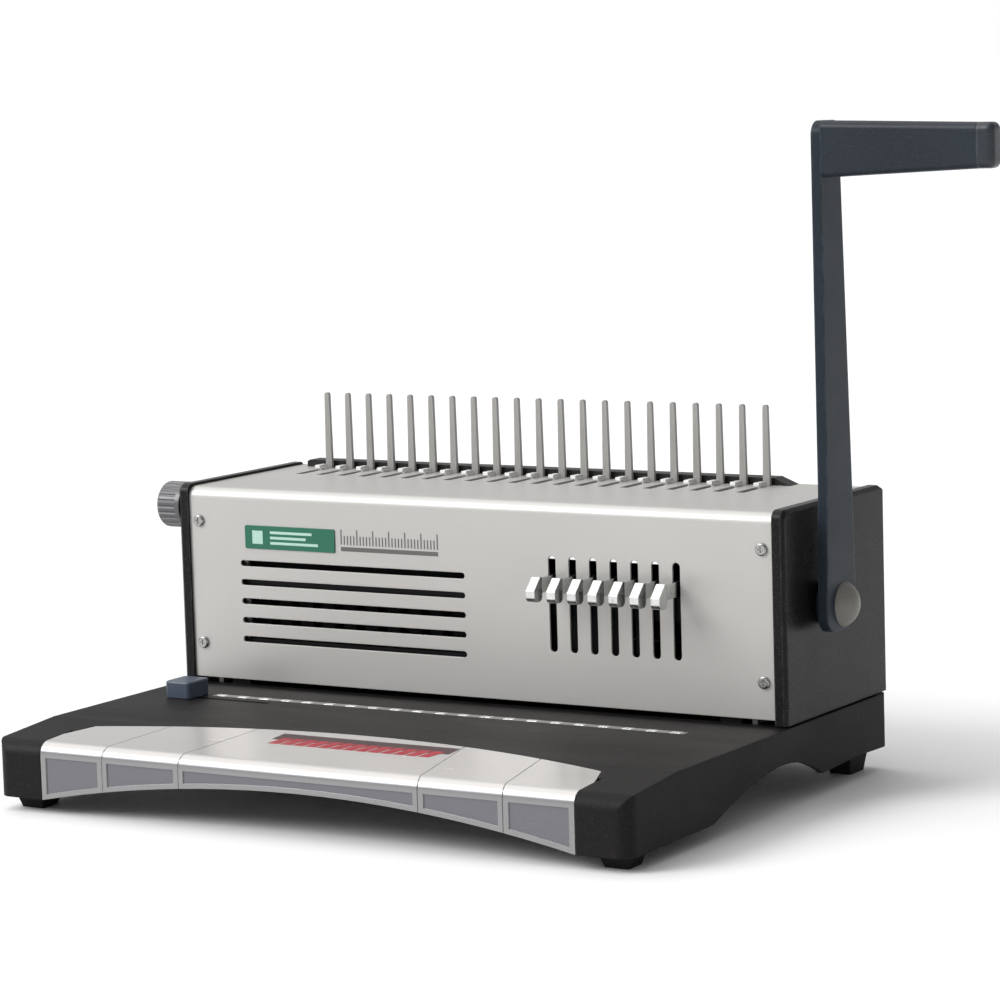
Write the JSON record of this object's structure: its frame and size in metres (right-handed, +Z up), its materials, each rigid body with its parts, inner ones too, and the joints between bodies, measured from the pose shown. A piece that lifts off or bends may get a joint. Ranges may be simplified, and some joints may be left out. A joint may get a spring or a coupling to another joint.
{
  "type": "comb binding machine",
  "caption": "Desk-top punch and plastic-comb binder: grey housing with upright tines, pull-out punch selectors, side lever, paper guide and front chip drawer.",
  "frame": {"origin": "on the floor under the middle of the whole machine, lever grip and margin knob included", "axes": "+X towards the lever side, +Y to the rear, +Z up"},
  "size_m": [0.505, 0.284, 0.3505],
  "materials": {
    "table_plastic": "fine-grained moulded charcoal",
    "silver_plastic": "pearl silver moulding",
    "tray_plastic": "plain black moulding",
    "housing_paint": "warm light grey satin powder coat",
    "black_paint": "black satin",
    "panel_plastic": "black moulded end panel",
    "frame_steel": "zinc plated sheet steel",
    "bright_steel": "ground steel",
    "gear_steel": "oiled steel",
    "black_oxide": "blackened steel",
    "tine_steel": "matt nickel plate",
    "hook_steel": "bright plated",
    "selector_steel": "bright plated strip",
    "spring_steel": "music wire",
    "bronze": "sintered bronze",
    "screw_steel": "plated screw",
    "foot_rubber": "black rubber",
    "guide_plastic": "blue grey moulding",
    "scale_metal": "anodised strip",
    "badge_green": "plain green plate",
    "lever_paint": "slate blue grey coat",
    "grip_plastic": "slate blue grey moulding",
    "grip_cap_plastic": "lighter slate cap",
    "cap_plastic": "dark domed cap",
    "knob_plastic": "ribbed silver grey"
  },
  "bodies": {
    "machine": {"base_shell": "table_plastic", "base_bottom_plate": "frame_steel", "bottom_plate_screws": "screw_steel", "rubber_feet": "foot_rubber", "foot_screws": "screw_steel", "scale_strip": "scale_metal", "housing_cover": "housing_paint", "cover_screws": "screw_steel", "badge_plate": "badge_green", "rear_cover": "black_paint", "comb_rail": "black_paint", "frame_bolts": "screw_steel", "tie_rods": "black_oxide", "tie_rod_nuts": "screw_steel", "die_plate": "black_oxide", "die_spacers": "black_oxide", "punch_guide_block": "black_oxide", "guide_posts": "bright_steel", "return_springs": "spring_steel", "tines": "tine_steel", "tine_plate": "frame_steel", "hook_guides": "frame_steel", "margin_pivots": "bright_steel", "left_end_panel": "panel_plastic", "right_end_panel": "panel_plastic", "left_side_frame": "frame_steel", "right_side_frame": "frame_steel", "left_bush": "bronze", "right_bush": "bronze"},
    "lever": {"main_shaft": "bright_steel", "shaft_rings": "spring_steel", "drive_gears": "gear_steel", "lever_arm": "lever_paint", "lever_grip": "grip_plastic", "grip_end_cap": "grip_cap_plastic", "pivot_cap": "cap_plastic"},
    "punch_carriage": {"punch_bar": "black_oxide", "punch_racks": "black_oxide", "pin_retainer": "black_oxide", "fixed_punches": "black_oxide", "selectable_punches": "black_oxide"},
    "comb_opener": {"hook_plate": "frame_steel", "comb_hooks": "hook_steel", "comb_racks": "gear_steel"},
    "drawer": {"front_cover": "silver_plastic", "chip_tray": "tray_plastic"},
    "side_guide": {"paper_guide": "guide_plastic", "guide_clamp": "guide_plastic"},
    "margin_control": {"margin_knob": "knob_plastic", "margin_shaft": "bright_steel"},
    "depth_stop": {"margin_rockers": "frame_steel", "margin_stop_bar": "black_oxide"},
    "selector_1": {"selector_1": "selector_steel"},
    "selector_2": {"selector_2": "selector_steel"},
    "selector_3": {"selector_3": "selector_steel"},
    "selector_4": {"selector_4": "selector_steel"},
    "selector_5": {"selector_5": "selector_steel"},
    "selector_6": {"selector_6": "selector_steel"},
    "selector_7": {"selector_7": "selector_steel"}
  },
  "joints": [
    {"name": "lever_swing", "type": "hinge", "parent": "machine", "child": "lever", "pos_m": [0.1545, 0.07, 0.1005], "axis": [1, 0, 0], "range_deg": [0, 80], "stiffness_Nm_per_rad": 2, "springref_deg": -34.38},
    {"name": "punch_slide", "type": "slide", "parent": "machine", "child": "punch_carriage", "axis": [0, 0, -1], "range_m": [0, 0.02235], "deforming": ["return_springs"]},
    {"name": "comb_slide", "type": "slide", "parent": "machine", "child": "comb_opener", "axis": [0, -1, 0], "range_m": [0, 0.02235]},
    {"name": "drawer_slide", "type": "slide", "parent": "machine", "child": "drawer", "axis": [0, -1, 0], "range_m": [0, 0.12]},
    {"name": "paper_guide_slide", "type": "slide", "parent": "machine", "child": "side_guide", "axis": [1, 0, 0], "range_m": [0, 0.05]},
    {"name": "margin_turn", "type": "hinge", "parent": "machine", "child": "margin_control", "pos_m": [-0.2455, 0.0395, 0.1405], "axis": [1, 0, 0], "range_deg": [0, 120]},
    {"name": "depth_rock", "type": "hinge", "parent": "machine", "child": "depth_stop", "pos_m": [-0.0455, 0.05, 0.0955], "axis": [1, 0, 0], "range_deg": [0, 3.01]},
    {"name": "selector_1_pull", "type": "slide", "parent": "punch_carriage", "child": "selector_1", "axis": [0, -1, 0], "range_m": [0, 0.0082]},
    {"name": "selector_2_pull", "type": "slide", "parent": "punch_carriage", "child": "selector_2", "axis": [0, -1, 0], "range_m": [0, 0.0082]},
    {"name": "selector_3_pull", "type": "slide", "parent": "punch_carriage", "child": "selector_3", "axis": [0, -1, 0], "range_m": [0, 0.0082]},
    {"name": "selector_4_pull", "type": "slide", "parent": "punch_carriage", "child": "selector_4", "axis": [0, -1, 0], "range_m": [0, 0.0082]},
    {"name": "selector_5_pull", "type": "slide", "parent": "punch_carriage", "child": "selector_5", "axis": [0, -1, 0], "range_m": [0, 0.0082]},
    {"name": "selector_6_pull", "type": "slide", "parent": "punch_carriage", "child": "selector_6", "axis": [0, -1, 0], "range_m": [0, 0.0082]},
    {"name": "selector_7_pull", "type": "slide", "parent": "punch_carriage", "child": "selector_7", "axis": [0, -1, 0], "range_m": [0, 0.0082]}
  ],
  "couplings": [
    {"joint": "punch_slide", "follows": "lever_swing", "m_per_rad": 0.016},
    {"joint": "comb_slide", "follows": "lever_swing", "m_per_rad": 0.016},
    {"joint": "depth_rock", "follows": "margin_turn", "ratio": 0.025056}
  ]
}
